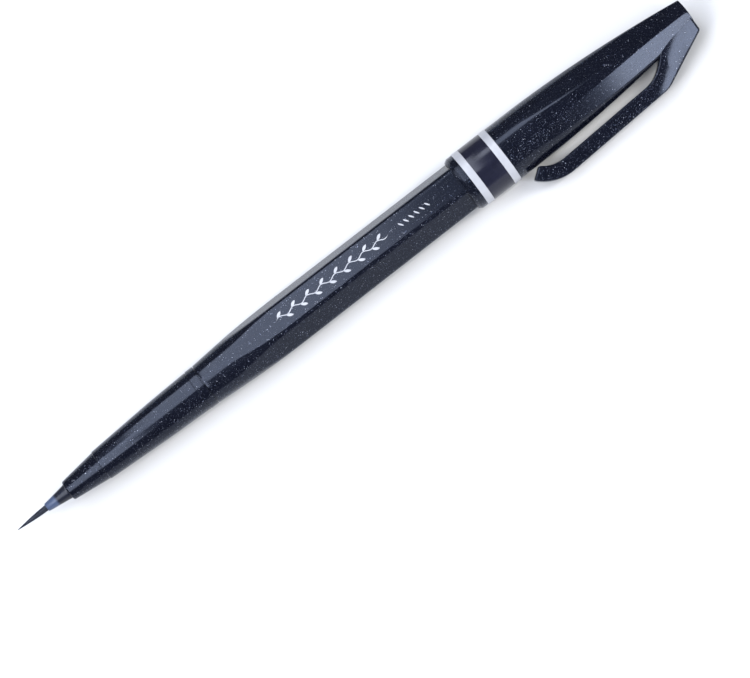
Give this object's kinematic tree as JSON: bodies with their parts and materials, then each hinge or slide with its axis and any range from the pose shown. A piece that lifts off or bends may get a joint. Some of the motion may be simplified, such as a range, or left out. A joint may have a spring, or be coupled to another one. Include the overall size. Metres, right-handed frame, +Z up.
{
  "type": "brush pen",
  "caption": "Slim brush pen with a flexible pointed nib, tapered round grip, six-sided barrel and a banded cap with a side clip, posted on its tail.",
  "frame": {"origin": "centre of the box round the posted pen, at its base, where the cap and its clip lie on a table", "axes": "+X along the pen from the nib's point to the cap's closed end, the longest extent; +Z up from the table, the shortest extent; the clip lies on the -Y side"},
  "size_m": [0.16, 0.0164, 0.0117],
  "materials": {
    "nib_fibre": "bundled soft fibres, wet with dark ink",
    "holder_plastic": "satin moulded plastic",
    "glitter_plastic": "glossy, with fine silver flakes in it",
    "ink_fibre": "bonded fibre soaked with ink",
    "clear_film": "thin film",
    "dark_plastic": "glossy moulded plastic",
    "white_plastic": "natural moulded plastic",
    "white_print": "satin white printed film",
    "dark_print": "smooth dark printed film"
  },
  "bodies": {
    "barrel": {"barrel": "glitter_plastic", "tail_plug": "dark_plastic", "front_section": "glitter_plastic", "nib_holder": "holder_plastic", "nib_stem": "nib_fibre", "reservoir_core": "ink_fibre", "reservoir_wrap": "clear_film"},
    "nib": {"nib_tip": "nib_fibre"},
    "inner_cap": {"inner_cap": "white_plastic"},
    "cap": {"cap_shell": "glitter_plastic", "front_ring": "white_print", "cap_band": "dark_print", "rear_ring": "white_print"},
    "clip": {"clip_arm": "glitter_plastic"}
  },
  "joints": [
    {"name": "cap_slide", "type": "slide", "parent": "barrel", "child": "inner_cap", "axis": [1, 0, 0], "range_m": [0, 0.06]},
    {"name": "cap_turn", "type": "hinge", "parent": "inner_cap", "child": "cap", "pos_m": [0.0262, 0.00237, 0.00586], "axis": [1, 0, 0], "continuous": true},
    {"name": "clip_flex", "type": "hinge", "parent": "cap", "child": "clip", "pos_m": [0.07136, -0.00305, 0.00356], "axis": [0, -0.3912, 0.9203], "range_deg": [0, 5], "stiffness_Nm_per_rad": 1.5},
    {"name": "nib_bend", "type": "hinge", "parent": "barrel", "child": "nib", "pos_m": [-0.0739, 0.00237, 0.00586], "axis": [0, 0.9203, 0.3912], "range_deg": [-20, 20], "stiffness_Nm_per_rad": 0.001}
  ]
}
